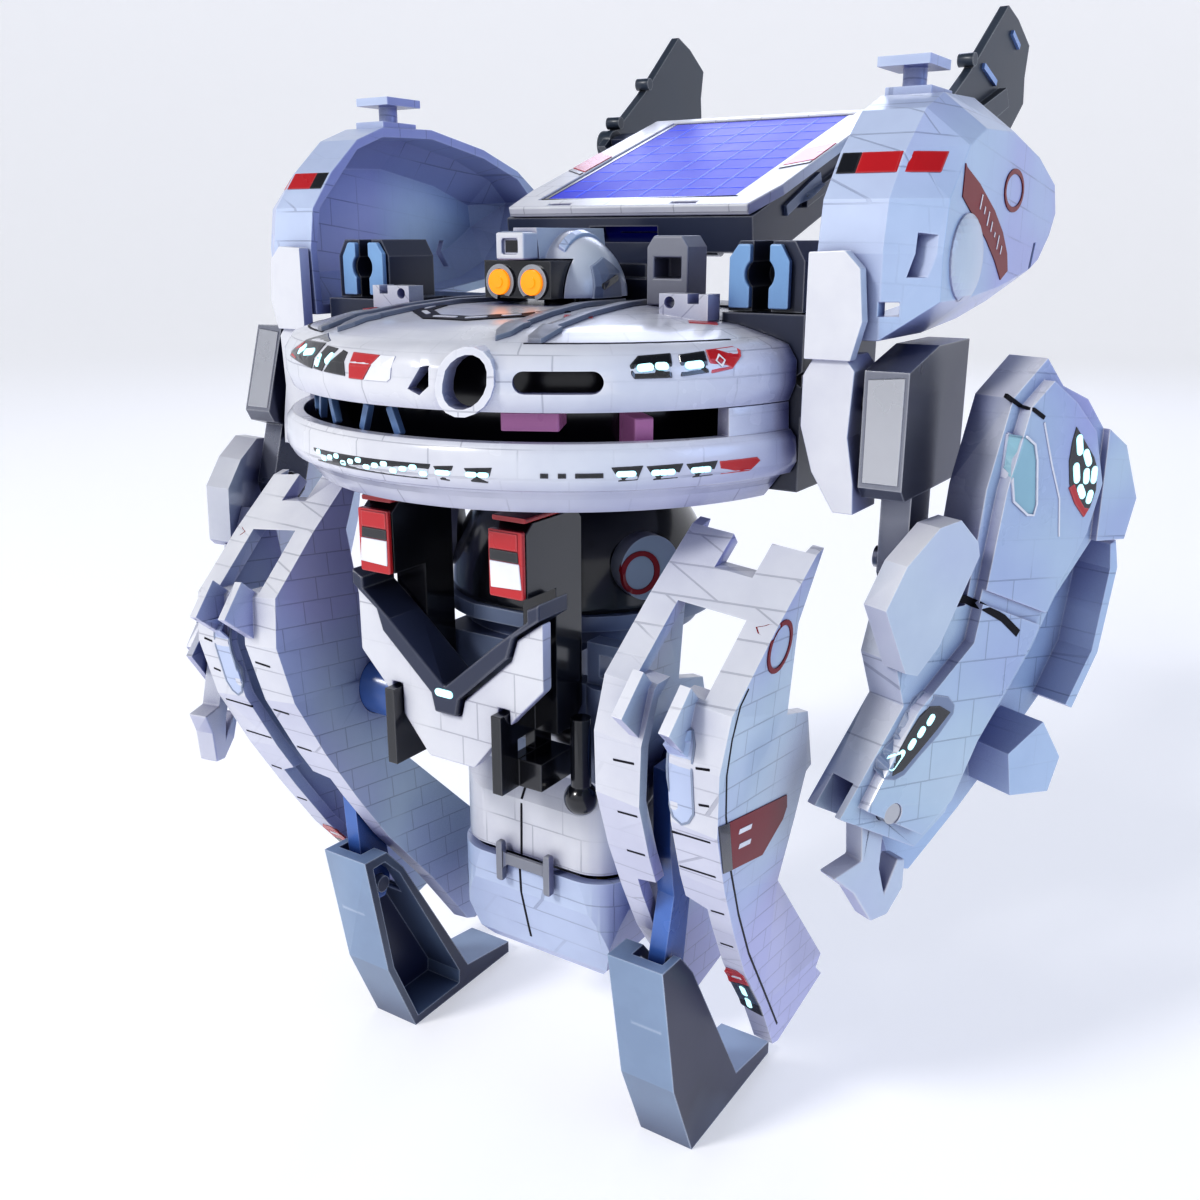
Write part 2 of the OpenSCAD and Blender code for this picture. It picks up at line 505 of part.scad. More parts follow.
// Legs: a slotted shell with a front plate and two side panels, leaning outward
module leg_place(s) put() side(s) translate([28, 0, 0]) rotate([0, leg_lean, 0]) children();
leg_front = [[-20, 95], [-29, 88], [-38, 80], [-39.2, 73], [-37.4, 64], [-33, 54.5], [-28, 45.5],
    [-22.5, 36.5], [-14, 25.5], [-6.5, 14]];
leg_inside = [[-5, 15.4], [-12.4, 26.6], [-21, 37.6], [-26.4, 46.5], [-31.4, 55.4], [-35.8, 64.4],
    [-37.4, 72.6], [-36.6, 78.6], [-27.8, 86.4], [-18.6, 93.6]];
leg_side = concat(leg_front, [[-4.5, 13.2], [11, 16.5], [7.8, 19.5], [9, 21.5], [-15.5, 47.5], [-13, 56],
    [-11.5, 62.5], [-10, 63], [-14.5, 72.5], [-21.5, 74.5], [-22.5, 87], [-18, 95.5]]);
module leg_shell(s) color("#dde1ee") difference() {
    leg_place(s) {
        both() along_x(leg_half - 1.5, leg_half) polygon(leg_side);
        difference() {
            along_x(-leg_half + 1.4, leg_half - 1.4) polygon(concat(leg_front, leg_inside));
            along_y(-60, 20) polygon([[-2.6, 91.6], [2.6, 91.6], [2.6, 99], [-2.6, 99]]);
            along_y(-60, 20) polygon([[-4.6, 80.6], [4.6, 80.6], [4.6, 88], [-4.6, 88]]);
            along_y(-60, 20) polygon([[-1.6, 81], [1.6, 81], [2.2, 64], [2.2, 50], [5.2, 49], [5.4, 10],
                [-5.4, 10], [-5.2, 49], [-2.2, 50], [-2.2, 64]]);
        }
        both() along_x(2.4, 3.8) polygon([[-35.6, 79], [-39.6, 82.6], [-43.6, 78], [-38.8, 73.8]]);
    }
    put() side(s) rod_x(15, 30.5, hip, 4.5);
}
module leg_link(s) color("cornflowerblue") difference() {
    union() {
        leg_place(s) along_x(-4.6, -2) polygon([[-30.4, 66], [-15, 66], [-15, 57], [-20.6, 50], [-19.4, 31],
            [-19.9, 27], [-21.4, 24.8], [-24, 25], [-25.6, 29], [-25, 45], [-28, 54]]);
        put() side(s) rod_x(20.4, 31.4, hip, 4.4);
    }
    put() side(s) {
        rod_x(15, 40, hip, hip_pin_r + run);
        rod_x(15, 40, ankle, pin_r + run);
    }
}
module foot(s) color("#41557a") put() side(s) {
    difference() {
        along_x(22.6, 31.4) polygon([[-29, 35.5], [-25.2, 14], [-19.4, 0], [7, 0], [7, 2.2], [-5, 4],
            [-20.4, 31], [-24, 35.3]]);
        along_x(22, 30) polygon([[-27.2, 33.8], [-23.8, 14], [-18.6, 1.6], [-7.6, 1.6], [-7.4, 4],
            [-21.4, 30.4], [-24.6, 33.8]]);
        slab(25.4, 30.2, -27, -17, 24.4, 37);
    }
    rod_x(25.2, 30.2, ankle, pin_r - 0.01);
}
module left_leg_shell() leg_shell(1);
module right_leg_shell() leg_shell(-1);
module left_leg_link() leg_link(1);
module right_leg_link() leg_link(-1);
module left_foot() foot(1);
module right_foot() foot(-1);

module frame_screws() color("dimgray") put() {
    for (x = [-18, 18]) translate([x, -22, 98.4]) cylinder(h = 3.6, r = 0.75);
    for (x = [-8, 8]) translate([x, 7.7, 116]) cylinder(h = 8.6, r = 0.85);
}

// Drawing
upper_saucer_shell();
lower_saucer_ring();
control_housing();
truss_struts();
light_guides();
backbone_frame();
deck_rails();
clip_blocks();
clip_faces();
centre_latch();
shoulder_pins();
head_hood();
head_visor();
eye_lamps();
crest_sensor();
panel_pedestal();
panel_hinge_pin();
panel_base();
panel_frame();
solar_cell();
left_fin();
right_fin();
left_neck_bracket();
right_neck_bracket();
left_shoulder_pod();
right_shoulder_pod();
left_elbow_box();
right_elbow_box();
left_forearm_shell();
right_forearm_shell();
left_rear_shell();
right_rear_shell();
left_elbow_pad();
right_elbow_pad();
left_claw();
right_claw();
left_arm_pins();
right_arm_pins();
v_plate();
v_trim();
posts();
post_caps();
dome_cover();
ring_boss();
hip_housing();
hip_axle();
gearbox_upper();
gearbox_lower();
gearbox_clip();
ball_lever();
drive_motor();
drive_pinion();
drive_gear();
left_leg_shell();
right_leg_shell();
left_leg_link();
right_leg_link();
left_foot();
right_foot();
frame_screws();
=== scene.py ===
import json
import math

import bmesh
import bpy
from mathutils import Matrix, Vector
from mathutils.bvhtree import BVHTree


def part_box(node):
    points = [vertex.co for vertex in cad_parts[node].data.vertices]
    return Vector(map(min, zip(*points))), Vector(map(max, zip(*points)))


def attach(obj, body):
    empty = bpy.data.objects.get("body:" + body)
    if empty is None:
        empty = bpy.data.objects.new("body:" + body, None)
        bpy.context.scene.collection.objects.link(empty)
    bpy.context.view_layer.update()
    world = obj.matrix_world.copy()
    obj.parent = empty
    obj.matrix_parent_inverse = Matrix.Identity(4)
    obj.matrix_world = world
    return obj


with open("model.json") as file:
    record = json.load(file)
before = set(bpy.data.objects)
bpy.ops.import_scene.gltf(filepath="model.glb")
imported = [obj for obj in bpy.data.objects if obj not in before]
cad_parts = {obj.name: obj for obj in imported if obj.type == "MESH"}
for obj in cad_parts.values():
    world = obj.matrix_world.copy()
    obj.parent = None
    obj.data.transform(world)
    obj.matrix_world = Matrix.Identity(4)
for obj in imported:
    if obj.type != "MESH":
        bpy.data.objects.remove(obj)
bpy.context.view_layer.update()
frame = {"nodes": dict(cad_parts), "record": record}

# Lengths are millimetres in the part's design frame, x across, y backwards, z up, unless a line says metres.
# The design frame's y is the row's y plus this, from the front of the lower saucer ring.
RING_FRONT = -44.6
SHIFT_Y = RING_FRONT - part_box("lower_saucer_ring")[0].y * 1000
MM = 0.001
SAUCER_Y = -4.0      # centre of the saucer
RAY_START = 0.3      # metres in front of a view's plane, outside every part
RIM_START = 90       # radius from which the rim's rays start
RIM_SQUASH = 1.4     # degrees round the rim drawn for a millimetre of height
SEAM_RADIUS = 40.0   # turns an angle round the saucer into a length
WELD = 2e-6          # metres
SHELL_EDGE, FINE_EDGE, MARK_EDGE = 0.0008, 0.0003, 0.00007   # bevel widths in metres
FAR_ARM_SWING = -17  # degrees about the shoulder pin
BULGE_U, BULGE_V, BULGE_RISE = -0.6, 127.4, 1.25
BULGE_RU, BULGE_RV = 6.0, 5.2


def row(x, y, z):
    """Design frame millimetres to row frame metres."""
    return Vector((x * MM, (y - SHIFT_Y) * MM, z * MM))


# ---------------------------------------------------------------- materials

def node_of(tree, kind, **inputs):
    n = tree.nodes.new(kind)
    for key, value in inputs.items():
        if hasattr(n, key):
            setattr(n, key, value)
        else:
            n.inputs[key].default_value = value
    return n


def ramp(tree, source, stops):
    r = tree.nodes.new("ShaderNodeValToRGB")
    e = r.color_ramp.elements
    while len(e) < len(stops):
        e.new(0.5)
    for i, (at, colour) in enumerate(stops):
        e[i].position = at
        e[i].color = (*colour, 1.0)
    tree.links.new(source, r.inputs[0])
    return r


def mix_colour(tree, factor, a, b, mode="MIX"):
    m = tree.nodes.new("ShaderNodeMix")
    m.data_type = "RGBA"
    m.blend_type = mode
    for socket, value in ((m.inputs[0], factor), (m.inputs[6], a), (m.inputs[7], b)):
        if isinstance(value, bpy.types.NodeSocket):
            tree.links.new(value, socket)
        elif isinstance(value, tuple):
            socket.default_value = (*value, 1.0)
        else:
            socket.default_value = value
    return m.outputs[2]


def calc(tree, op, a, b=0.0, c=0.0):
    m = tree.nodes.new("ShaderNodeMath")
    m.operation = op
    for i, value in enumerate((a, b, c)):
        if isinstance(value, bpy.types.NodeSocket):
            tree.links.new(value, m.inputs[i])
        else:
            m.inputs[i].default_value = value
    return m.outputs[0]


def seam_vector(tree, layout):
    """Vector whose x runs along the seams' rows and y across them, in millimetres."""
    t = tree.nodes.new("ShaderNodeTexCoord")
    s = tree.nodes.new("ShaderNodeSeparateXYZ")
    tree.links.new(t.outputs["Object"], s.inputs[0])
    x, y, z = (calc(tree, "MULTIPLY", s.outputs[i], 1000.0) for i in range(3))
    y = calc(tree, "ADD", y, SHIFT_Y)
    c = tree.nodes.new("ShaderNodeCombineXYZ")
    if layout == "saucer":
        yc = calc(tree, "SUBTRACT", y, SAUCER_Y)
        angle = calc(tree, "ARCTAN2", x, calc(tree, "MULTIPLY", yc, -1.0))
        radius = calc(tree, "SQRT", calc(tree, "ADD", calc(tree, "MULTIPLY", x, x),
                                         calc(tree, "MULTIPLY", yc, yc)))
        u = calc(tree, "MULTIPLY", angle, SEAM_RADIUS)
        v = calc(tree, "SUBTRACT", z, radius)
    elif layout == "side":
        u = calc(tree, "ADD", y, calc(tree, "MULTIPLY", x, 0.35))
        v = calc(tree, "ADD", z, calc(tree, "MULTIPLY", y, 0.12))
    elif layout == "top":
        u, v = x, y
    else:
        u = calc(tree, "ADD", x, calc(tree, "MULTIPLY", y, 0.6))
        v = z
    tree.links.new(u, c.inputs[0])
    tree.links.new(v, c.inputs[1])
    return c.outputs[0], t.outputs["Object"]


# Teal and violet of the painted shade on flanks and undersides.
SIDE_SHADE_HUES = ((0.22, 0.46, 0.64), (0.20, 0.21, 0.62))


def painted_side_shade(tree, colour, strength, shade_hues):
    """Painted shade on the flanks and undersides, from teal to violet, set by the way each surface faces.
    Fronts and tops keep their colour.
    """
    t = tree.nodes.new("ShaderNodeTexCoord")
    n = tree.nodes.new("ShaderNodeSeparateXYZ")
    tree.links.new(t.outputs["Normal"], n.inputs[0])
    flank = ramp(tree, calc(tree, "ABSOLUTE", n.outputs[0]), [(0.30, (0.0,) * 3),
                                                              (0.95, (1.0,) * 3)]).outputs[0]
    under = ramp(tree, calc(tree, "MULTIPLY", n.outputs[2], -1.0),
                 [(0.15, (0.0,) * 3), (0.85, (1.0,) * 3)]).outputs[0]
    wave = node_of(tree, "ShaderNodeTexNoise", Scale=22.0, Detail=2.0)
    tree.links.new(t.outputs["Object"], wave.inputs["Vector"])
    hue = ramp(tree, wave.outputs[0], [(0.40, shade_hues[0]), (0.58, shade_hues[1])]).outputs[0]
    patch = ramp(tree, wave.outputs[0], [(0.30, (0.45,) * 3), (0.52, (1.0,) * 3)]).outputs[0]
    amount = calc(tree, "MULTIPLY", calc(tree, "MULTIPLY", flank, patch), strength)
    out = mix_colour(tree, amount, colour, hue)
    return mix_colour(tree, calc(tree, "MULTIPLY", under, strength * 0.8), out, shade_hues[1])


def finish(name, colour, rough=0.35, metal=0.0, coat=0.0, seams=None, brick=(8.0, 3.4), tint=None,
           edge_wear_and_highlight=0.25, grain=0.015, seam_depth=0.3, glow=None, gloss_spread=0.12, side_shade=0.0, shade_hues=None,
           spec=0.5):
    """Moulded plastic or metal: colour drift, painted shade in crevices, painted side shade where asked,
    lighter edges that are partly wear and partly painted highlight, panel seams and fine grain.
    """
    m = bpy.data.materials.new(name)
    m.use_nodes = True
    tree = m.node_tree
    b = tree.nodes["Principled BSDF"]
    vec, obj = seam_vector(tree, seams)
    drift = node_of(tree, "ShaderNodeTexNoise", Scale=60.0, Detail=4.0, Roughness=0.6)
    fine = node_of(tree, "ShaderNodeTexNoise", Scale=900.0, Detail=3.0)
    tree.links.new(obj, drift.inputs["Vector"])
    tree.links.new(obj, fine.inputs["Vector"])
    # tint is the colour of the painted shade in crevices; the drift and the seams also lean towards it.
    tint = tint or tuple(c * 0.55 for c in colour)
    shade = ramp(tree, drift.outputs[0], [(0.36, tuple(0.86 * c + 0.14 * t for c, t in zip(colour, tint))),
                                          (0.62, colour)])
    out = shade.outputs[0]
    # Painted shade: flanks and undersides lean towards teal and violet.
    if side_shade:
        out = painted_side_shade(tree, out, side_shade, shade_hues or SIDE_SHADE_HUES)
    # Painted shade: crevices and recesses found by ambient occlusion are darkened towards tint.
    ao = node_of(tree, "ShaderNodeAmbientOcclusion", Distance=0.011, samples=6)
    out = mix_colour(tree, ramp(tree, ao.outputs["AO"], [(0.20, (0.88,) * 3), (0.88, (0.0,) * 3)]).outputs[0],
                     out, tint)
    height = calc(tree, "MULTIPLY", fine.outputs[0], grain)
    if seams:
        lines = node_of(tree, "ShaderNodeTexBrick", Scale=1.0)
        lines.offset = 0.37
        lines.offset_frequency = 2
        lines.squash = 0.72
        lines.squash_frequency = 3
        lines.inputs["Mortar Size"].default_value = 0.11
        lines.inputs["Mortar Smooth"].default_value = 0.25
        lines.inputs["Brick Width"].default_value = brick[0]
        lines.inputs["Row Height"].default_value = brick[1]
        tree.links.new(vec, lines.inputs["Vector"])
        mask = node_of(tree, "ShaderNodeTexNoise", Scale=45.0, Detail=1.0)
        tree.links.new(obj, mask.inputs["Vector"])
        keep = ramp(tree, mask.outputs[0], [(0.44, (0.15,) * 3), (0.52, (1.0,) * 3)]).outputs[0]
        line = calc(tree, "MULTIPLY", lines.outputs["Fac"], keep)
        out = mix_colour(tree, calc(tree, "MULTIPLY", line, 0.30), out, tuple(c * 0.35 for c in tint))
        height = calc(tree, "SUBTRACT", height, calc(tree, "MULTIPLY", line, seam_depth))
    # Lighter edges: partly wear, partly a painted highlight along every sharp edge.
    if edge_wear_and_highlight:
        soft = node_of(tree, "ShaderNodeBevel", samples=4, Radius=0.00035)
        geo = tree.nodes.new("ShaderNodeNewGeometry")
        dot = tree.nodes.new("ShaderNodeVectorMath")
        dot.operation = "DOT_PRODUCT"
        tree.links.new(soft.outputs[0], dot.inputs[0])
        tree.links.new(geo.outputs["Normal"], dot.inputs[1])
        edge = ramp(tree, dot.outputs["Value"], [(0.93, (1.0,) * 3), (0.998, (0.0,) * 3)]).outputs[0]
        edge = calc(tree, "MULTIPLY", edge, calc(tree, "MULTIPLY", drift.outputs[0], edge_wear_and_highlight * 1.6))
        lift = tuple(min(1.0, 0.35 + c * 0.75) for c in colour)
        out = mix_colour(tree, edge, out, lift)
    tree.links.new(out, b.inputs["Base Color"])
    gloss = calc(tree, "ADD", calc(tree, "MULTIPLY", drift.outputs[0], gloss_spread),
                 rough - 0.5 * gloss_spread)
    tree.links.new(gloss, b.inputs["Roughness"])
    b.inputs["Metallic"].default_value = metal
    b.inputs["Specular IOR Level"].default_value = spec
    b.inputs["Coat Weight"].default_value = coat
    b.inputs["Coat Roughness"].default_value = 0.12
    bump = node_of(tree, "ShaderNodeBump", Strength=0.6, Distance=0.0004)
    tree.links.new(height, bump.inputs["Height"])
    tree.links.new(bump.outputs[0], b.inputs["Normal"])
    if glow:
        b.inputs["Emission Color"].default_value = (*glow[0], 1.0)
        b.inputs["Emission Strength"].default_value = glow[1]
    return m


SHADOW_BLUE = (0.07, 0.08, 0.26)
WHITE = (0.68, 0.69, 0.73)
MATERIALS = {
    "shell_white": finish("shell_white", WHITE, 0.30, coat=0.25, tint=SHADOW_BLUE, side_shade=0.5),
    "shell_blue": finish("shell_blue", (0.50, 0.58, 0.76), 0.30, coat=0.2, tint=SHADOW_BLUE, side_shade=0.5,
                         seams="side", brick=(9.0, 4.4)),
    "blue_grey": finish("blue_grey", (0.20, 0.25, 0.36), 0.34, tint=(0.03, 0.04, 0.11), edge_wear_and_highlight=0.5),
    "strut_blue": finish("strut_blue", (0.22, 0.40, 0.66), 0.30, tint=(0.03, 0.05, 0.2)),
    "navy": finish("navy", (0.022, 0.030, 0.065), 0.32, coat=0.15, tint=(0.004, 0.005, 0.015), edge_wear_and_highlight=0.6),
    "fin_dark": finish("fin_dark", (0.030, 0.042, 0.062), 0.34, tint=(0.005, 0.006, 0.012), edge_wear_and_highlight=0.6),
    "black_gloss": finish("black_gloss", (0.006, 0.007, 0.011), 0.20, coat=0.5, tint=(0.002, 0.002, 0.006),
                          edge_wear_and_highlight=0.15),
    "grey": finish("grey", (0.24, 0.25, 0.29), 0.40, tint=(0.04, 0.04, 0.08), side_shade=0.3),
    "red": finish("red", (0.48, 0.010, 0.016), 0.28, coat=0.25, tint=(0.10, 0.0, 0.01)),
    # The pink guide glows faintly though it holds no lamp: painted light.
    "pink_guide": finish("pink_guide", (0.42, 0.16, 0.34), 0.28, tint=(0.10, 0.02, 0.10),
                         glow=((0.5, 0.2, 0.45), 0.15)),
    "link_blue": finish("link_blue", (0.07, 0.17, 0.50), 0.26, coat=0.3, tint=(0.006, 0.012, 0.08)),
    # The solar cell glows blue though it is no lamp: painted light.
    "cell_blue": finish("cell_blue", (0.004, 0.008, 0.36), 0.30, tint=(0.0, 0.0, 0.05), edge_wear_and_highlight=0,
                        glow=((0.008, 0.02, 0.9), 0.26), spec=0.06),
    "amber_light": finish("amber_light", (0.85, 0.22, 0.01), 0.2, tint=(0.6, 0.12, 0.0),
                          glow=((1.0, 0.30, 0.01), 0.8), edge_wear_and_highlight=0),
    "cyan_light": finish("cyan_light", (0.55, 0.95, 1.0), 0.25, tint=(0.2, 0.7, 0.8),
                         glow=((0.50, 0.97, 1.0), 0.85), edge_wear_and_highlight=0),
    "steel": finish("steel", (0.50, 0.51, 0.54), 0.28, metal=1.0, tint=(0.2, 0.2, 0.22)),
    "brass": finish("brass", (0.65, 0.45, 0.16), 0.28, metal=1.0),
    "gear_white": finish("gear_white", (0.78, 0.77, 0.70), 0.45),
    # Gunmetal and the foot paint darken their flanks and undersides to near black: painted shade.
    "gunmetal": finish("gunmetal", (0.24, 0.25, 0.29), 0.26, metal=0.75, tint=(0.02, 0.025, 0.07), side_shade=0.85,
                       shade_hues=((0.010, 0.014, 0.030), (0.014, 0.018, 0.05)), edge_wear_and_highlight=0.7),
    "foot_paint": finish("foot_paint", (0.24, 0.33, 0.48), 0.32, tint=(0.02, 0.03, 0.09), side_shade=1.0,
                         shade_hues=((0.008, 0.012, 0.028), (0.012, 0.014, 0.045)), edge_wear_and_highlight=0.7),
    "seam_black": finish("seam_black", (0.012, 0.011, 0.015), 0.5, tint=(0.004, 0.004, 0.006), edge_wear_and_highlight=0,
                         spec=0.12),
    "teal": finish("teal", (0.30, 0.52, 0.60), 0.30, coat=0.2, tint=(0.06, 0.14, 0.25)),
    # The cell's grid lines glow though they are no lamps: painted light.
    "grid_blue": finish("grid_blue", (0.02, 0.05, 0.75), 0.2, tint=(0.0, 0.0, 0.2), edge_wear_and_highlight=0,
                        glow=((0.05, 0.12, 1.0), 0.40), spec=0.06),
    "sky_blue": finish("sky_blue", (0.20, 0.34, 0.66), 0.25, coat=0.3, tint=(0.03, 0.05, 0.2)),
    "dark_red": finish("dark_red", (0.20, 0.004, 0.012), 0.34, tint=(0.03, 0.0, 0.004), edge_wear_and_highlight=0, spec=0.25),
    "trim_white": finish("trim_white", (0.80, 0.81, 0.84), 0.28, coat=0.2, tint=SHADOW_BLUE, edge_wear_and_highlight=0),
}
SEAMED = {
    "saucer": finish("shell_white_saucer", WHITE, 0.26, coat=0.3, tint=SHADOW_BLUE,
                     seams="saucer", brick=(11.0, 3.9), side_shade=0.3),
    "side": finish("shell_white_side", WHITE, 0.30, coat=0.25, tint=SHADOW_BLUE,
                   seams="side", brick=(7.4, 3.4), side_shade=0.6),
    "top": finish("shell_white_top", WHITE, 0.30, coat=0.25, tint=SHADOW_BLUE,
                  seams="top", brick=(9.0, 5.0), side_shade=0.4),
    "front": finish("shell_white_front", WHITE, 0.30, coat=0.25, tint=SHADOW_BLUE,
                    seams="front", brick=(9.0, 5.4), side_shade=0.4),
    "arm": finish("shell_white_arm", WHITE, 0.28, coat=0.3, tint=SHADOW_BLUE, seams="side", brick=(9.0, 5.2),
                  side_shade=0.75, seam_depth=0.2),
}
SEAM_OF = {"upper_saucer_shell": "saucer", "lower_saucer_ring": "saucer", "left_leg_shell": "side",
           "right_leg_shell": "side", "panel_frame": "top", "gearbox_upper": "front", "v_plate": "front",
           "left_forearm_shell": "arm", "right_forearm_shell": "arm"}
PAINTED = {"left_elbow_box": "gunmetal", "right_elbow_box": "gunmetal", "left_foot": "foot_paint",
           "right_foot": "foot_paint", "head_hood": "shell_white"}
SOFT_EDGES = ("shoulder_pod", "forearm_shell", "rear_shell", "elbow_pad", "gearbox")

slot_of = {s["node"]: s["material_slot"] for s in frame["record"]["subparts"]}
for node, obj in frame["nodes"].items():
    material = SEAMED[SEAM_OF[node]] if node in SEAM_OF else MATERIALS[slot_of[node]]
    if node in PAINTED:
        material = MATERIALS[PAINTED[node]]
    obj.data.materials.clear()
    obj.data.materials.append(material)
    weld = obj.modifiers.new("weld", "WELD")
    weld.merge_threshold = WELD
    bevel = obj.modifiers.new("bevel", "BEVEL")
    soft = any(word in node for word in SOFT_EDGES)
    bevel.width = SHELL_EDGE if soft else FINE_EDGE
    bevel.segments = 3 if soft else 2
    bevel.limit_method = "ANGLE"
    bevel.angle_limit = math.radians(38)
    bevel.harden_normals = True
    bevel.use_clamp_overlap = True

# ---------------------------------------------------------------- plates that follow a surface

class View:
    """A flat drawing plane: u and v in millimetres, seen against direction n."""

    def __init__(self, origin, u, v, n):
        self.frame = Matrix((u, v, n)).transposed().to_4x4()
        self.frame.translation = origin

    def moved(self, matrix):
        other = View(Vector(), (1, 0, 0), (0, 1, 0), (0, 0, 1))
        other.frame = matrix @ self.frame
        return other

    def shot(self, u, v):
        """Start and direction of the ray that finds the surface below (u, v)."""
        start = self.frame @ Vector((u * MM, v * MM, RAY_START))
        return start, -(self.frame.to_3x3() @ Vector((0, 0, 1))).normalized()


class Rim:
    """Round the saucer: u in degrees from the front towards +X, v is the height."""

    def shot(self, u, v):
        a = math.radians(u)
        start = row(RIM_START * math.sin(a), SAUCER_Y - RIM_START * math.cos(a), v)
        return start, Vector((-math.sin(a), math.cos(a), 0))


SIDE = View(row(0, 0, 0), (0, 1, 0), (0, 0, 1), (1, 0, 0))
FRONT = View(row(0, 0, 0), (1, 0, 0), (0, 0, 1), (0, -1, 0))
TOP = View(row(0, 0, 0), (1, 0, 0), (0, 1, 0), (0, 0, 1))
ARM = View(row(58.8, 0, 0), (0.423, 0.906, 0), (0, 0, 1), (0.906, -0.423, 0))
RIM = Rim()
MIRROR = Matrix.Diagonal((-1, 1, 1, 1))
PIN = row(0, -10.2, 111)
TURN = Matrix.Rotation(math.radians(FAR_ARM_SWING), 4, "X")
SWING = Matrix.Translation(PIN) @ TURN @ Matrix.Translation(-PIN) @ MIRROR

trees = {}
for node, obj in frame["nodes"].items():
    trees[node] = BVHTree.FromPolygons([obj.matrix_world @ v.co for v in obj.data.vertices],
                                       [tuple(p.vertices) for p in obj.data.polygons])
body_of = {n: body for body, nodes in frame["record"]["behaviour"]["bodies"].items() for n in nodes}
pieces = {}


def plate(label, nodes, view, outlines, slot, material=None, lift=0.14, sunk=0.3, cell=1.6):
    """Adds a thin plate to the piece called label: its outline is drawn in the view, and it lies on nodes."""
    nodes = (nodes,) if isinstance(nodes, str) else nodes
    outlines = outlines if isinstance(outlines[0][0], (tuple, list)) else [outlines]
    bm = bmesh.new()
    for outline in outlines:
        bm.faces.new([bm.verts.new((u, v, 0)) for u, v in outline])
    bmesh.ops.remove_doubles(bm, verts=bm.verts, dist=1e-4)
    bmesh.ops.triangulate(bm, faces=bm.faces)
    for axis in (0, 1):
        step = cell * (RIM_SQUASH if axis == 0 and view is RIM else 1.0)
        low = min(v.co[axis] for v in bm.verts)
        high = max(v.co[axis] for v in bm.verts)
        normal = Vector((1 - axis, axis, 0))
        for k in range(1, int((high - low) / step) + 1):
            bmesh.ops.bisect_plane(bm, geom=bm.verts[:] + bm.edges[:] + bm.faces[:],
                                   plane_co=normal * (low + k * step), plane_no=normal, dist=1e-5)
    bm.verts.index_update()
    shots, depths = [], []
    for v in bm.verts:
        start, way = view.shot(v.co.x, v.co.y)
        found = [h[3] for h in (trees[n].ray_cast(start, way) for n in nodes) if h[0] is not None]
        shots.append((start, way))
        depths.append(min(found) if found else None)
    spots = [(v.co.copy(), d) for v, d in zip(bm.verts, depths) if d is not None]
    if not spots:
        bm.free()
        raise ValueError(label + " lies on nothing")
    depths = [min(spots, key=lambda k: (k[0] - v.co).length)[1] if d is None else d
              for v, d in zip(bm.verts, depths)]
    if view is RIM and LOW in nodes:
        lift *= 0.5
    raised = lift if callable(lift) else (lambda u, v: lift)
    top = [s + w * (d - raised(v.co.x, v.co.y) * MM) for (s, w), d, v in zip(shots, depths, bm.verts)]
    under = [s + w * (d + sunk * MM) for (s, w), d in zip(shots, depths)]
    count = len(top)
    faces = [tuple(v.index for v in f.verts) for f in bm.faces]
    made = list(faces) + [tuple(count + i for i in reversed(f)) for f in faces]
    for e in bm.edges:
        if len(e.link_faces) == 1:
            loop = next(lp for lp in e.link_faces[0].loops if lp.edge == e)
            a, b = loop.vert.index, loop.link_loop_next.vert.index
            made.append((b, a, count + a, count + b))
    bm.free()
    mesh = pieces.setdefault(label, {"verts": [], "faces": [], "slot": slot, "body": body_of[nodes[0]],
                                     "material": MATERIALS[material or slot]})
    base = len(mesh["verts"])
    mesh["verts"] += top + under
    mesh["faces"] += [tuple(base + i for i in f) for f in made]


def build_pieces():
    for label, mesh in pieces.items():
        me = bpy.data.meshes.new(label)
        me.from_pydata(mesh["verts"], [], mesh["faces"])
        bm = bmesh.new()
        bm.from_mesh(me)
        bmesh.ops.recalc_face_normals(bm, faces=bm.faces)
        bm.to_mesh(me)
        bm.free()
        me.materials.append(mesh["material"])
        obj = bpy.data.objects.new(label, me)
        bpy.context.scene.collection.objects.link(obj)
        soft = obj.modifiers.new("edge", "BEVEL")
        soft.width = MARK_EDGE
        soft.segments = 1
        soft.limit_method = "ANGLE"
        soft.angle_limit = math.radians(50)
        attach(obj, mesh["body"])


def stroke(points, width):
    """Quads along a line of points, as one outline each."""
    left, right = [], []
    for i, p in enumerate(points):
        a, b = Vector(points[max(i - 1, 0)]), Vector(points[min(i + 1, len(points) - 1)])
        side = (b - a).normalized()
        side = Vector((-side.y, side.x)) * width / 2
        left.append(tuple(Vector(p) + side))
        right.append(tuple(Vector(p) - side))
    return [[left[i], right[i], right[i + 1], left[i + 1]] for i in range(len(points) - 1)]


def oval(u, v, ru, rv, steps=20):
    return [(u + ru * math.cos(math.tau * k / steps), v + rv * math.sin(math.tau * k / steps))
            for k in range(steps)]


def ring(u, v, ru, rv, width, steps=28):
    a, b = oval(u, v, ru, rv, steps), oval(u, v, ru - width, rv - width, steps)
    return [[a[k], a[(k + 1) % steps], b[(k + 1) % steps], b[k]] for k in range(steps)]


def pill(a, b, width, steps=6, squash=1.0):
    """A rounded bar from a to b. squash is the width's scale along u, for the rim's degrees."""
    a, b = Vector(a), Vector(b)
    way = (b - a).normalized()
    out = []
    for centre, turn in ((b, -90), (a, 90)):
        for k in range(steps + 1):
            t = math.radians(turn + 180 * k / steps)
            spot = Vector((way.x * math.cos(t) - way.y * math.sin(t),
                           way.x * math.sin(t) + way.y * math.cos(t)))
            out.append((centre.x + spot.x * width / 2 * squash, centre.y + spot.y * width / 2))
    return out


def box_outline(u0, v0, u1, v1):
    return [(u0, v0), (u1, v0), (u1, v1), (u0, v1)]


